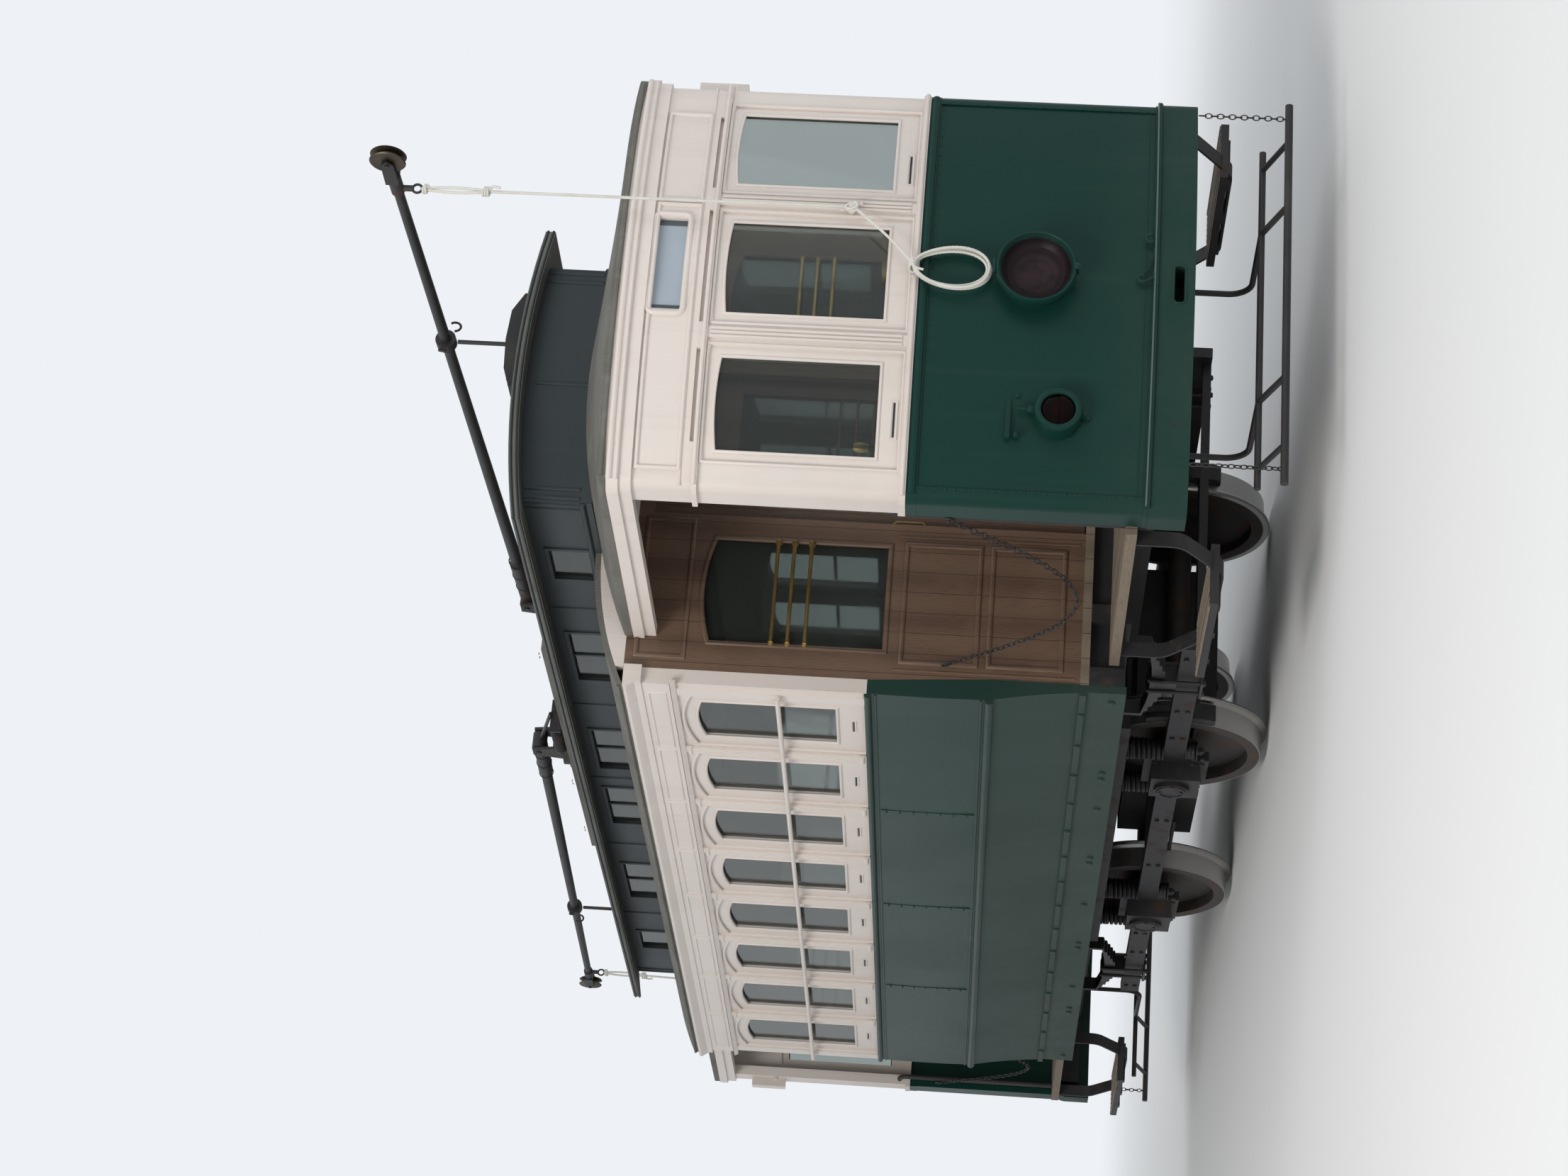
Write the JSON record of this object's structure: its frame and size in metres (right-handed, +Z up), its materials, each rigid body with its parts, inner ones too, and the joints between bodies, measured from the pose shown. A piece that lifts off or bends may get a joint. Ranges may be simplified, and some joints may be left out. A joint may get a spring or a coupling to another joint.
{
  "type": "four-wheel tram",
  "caption": "Double-ended four-wheel timber tram with open-sided platforms, glazed bow fronts, raised roof with side lights and a trolley pole for each end.",
  "frame": {"origin": "under the car's middle, level with the wheel flange tips, 25 mm below the rail head", "axes": "+X along the car to the pictured end, +Y to its left, +Z up"},
  "size_m": [8.736, 2.25, 3.6111],
  "materials": {
    "cream_paint": "gloss cream paint on timber",
    "green_paint": "gloss dark green paint on timber",
    "dash_green": "gloss deep green paint on sheet iron",
    "roof_canvas": "painted canvas, grey olive",
    "light_grey": "satin blue-grey paint",
    "black_iron": "black painted iron",
    "wheel_steel": "dark steel, worn on the tread",
    "spring_steel": "black painted spring steel",
    "window_glass": "clear sheet glass",
    "lamp_glass": "clear lamp glass",
    "tail_glass": "dark red glass",
    "blind_cloth": "blank pale blue-grey blind",
    "brown_timber": "varnished brown timber",
    "floor_timber": "scrubbed floor boards",
    "seat_timber": "varnished slats",
    "brass": "polished brass",
    "rope": "off-white rope"
  },
  "bodies": {
    "root": {"window_frames": "cream_paint", "side_sashes": "cream_paint", "side_glass": "window_glass", "side_panels": "green_paint", "guard_rails": "cream_paint", "bulkheads": "brown_timber", "underframe": "black_iron", "saloon_floor": "floor_timber", "platforms": "floor_timber", "steps": "black_iron", "benches": "seat_timber", "controllers": "black_iron", "brake_columns": "brass", "dashes": "dash_green", "bumpers": "dash_green", "end_frames": "cream_paint", "end_sashes": "cream_paint", "end_glass": "window_glass", "sign_blinds": "blind_cloth", "headlights": "dash_green", "headlight_glass": "lamp_glass", "marker_lamps": "dash_green", "marker_lenses": "tail_glass", "lifeguards": "black_iron", "grab_rails": "black_iron", "corner_boxes": "cream_paint", "hoods": "roof_canvas", "deck_roof": "roof_canvas", "clerestory": "light_grey", "clerestory_glass": "window_glass", "rope_hanks": "rope", "monitor_roof": "roof_canvas", "trolley_planks": "roof_canvas", "pole_rests": "black_iron", "trolley_feet": "black_iron", "truck_frame": "black_iron", "axleboxes": "black_iron", "coil_springs": "spring_steel", "leaf_springs": "spring_steel", "motors": "black_iron", "brake_shoes": "black_iron"},
    "wheelset_front": {"wheelset_front": "wheel_steel"},
    "wheelset_rear": {"wheelset_rear": "wheel_steel"},
    "door_front": {"door_front": "brown_timber", "door_glass_front": "window_glass"},
    "door_rear": {"door_rear": "brown_timber", "door_glass_rear": "window_glass"},
    "trolley_base_front": {"trolley_base_front": "black_iron"},
    "trolley_base_rear": {"trolley_base_rear": "black_iron"},
    "trolley_pole_front": {"trolley_pole_front": "black_iron", "pole_fittings_front": "black_iron"},
    "trolley_pole_rear": {"trolley_pole_rear": "black_iron", "pole_fittings_rear": "black_iron"},
    "trolley_wheel_front": {"trolley_wheel_front": "brass"},
    "trolley_wheel_rear": {"trolley_wheel_rear": "brass"}
  },
  "joints": [
    {"name": "wheelset_front_turn", "type": "hinge", "parent": "root", "child": "wheelset_front", "pos_m": [0.915, 0, 0.405], "axis": [0, 1, 0], "continuous": true},
    {"name": "wheelset_rear_turn", "type": "hinge", "parent": "root", "child": "wheelset_rear", "pos_m": [-0.915, 0, 0.405], "axis": [0, 1, 0], "continuous": true},
    {"name": "door_front_slide", "type": "slide", "parent": "root", "child": "door_front", "axis": [0, 1, 0], "range_m": [0, 0.6]},
    {"name": "door_rear_slide", "type": "slide", "parent": "root", "child": "door_rear", "axis": [0, -1, 0], "range_m": [0, 0.6]},
    {"name": "trolley_front_swing", "type": "hinge", "parent": "root", "child": "trolley_base_front", "pos_m": [0.45, 0.185, 3.324], "axis": [0, 0, 1], "range_deg": [-30, 30]},
    {"name": "trolley_front_lift", "type": "hinge", "parent": "trolley_base_front", "child": "trolley_pole_front", "pos_m": [0.45, 0.185, 3.443], "axis": [0, -1, 0], "range_deg": [0, 38]},
    {"name": "trolley_front_wheel_turn", "type": "hinge", "parent": "trolley_pole_front", "child": "trolley_wheel_front", "pos_m": [4.3, 0.185, 3.5431], "axis": [0, 1, 0], "continuous": true},
    {"name": "trolley_rear_swing", "type": "hinge", "parent": "root", "child": "trolley_base_rear", "pos_m": [-0.45, -0.185, 3.324], "axis": [0, 0, 1], "range_deg": [-30, 30]},
    {"name": "trolley_rear_lift", "type": "hinge", "parent": "trolley_base_rear", "child": "trolley_pole_rear", "pos_m": [-0.45, -0.185, 3.443], "axis": [0, 1, 0], "range_deg": [0, 38]},
    {"name": "trolley_rear_wheel_turn", "type": "hinge", "parent": "trolley_pole_rear", "child": "trolley_wheel_rear", "pos_m": [-4.3, -0.185, 3.5431], "axis": [0, 1, 0], "continuous": true}
  ]
}
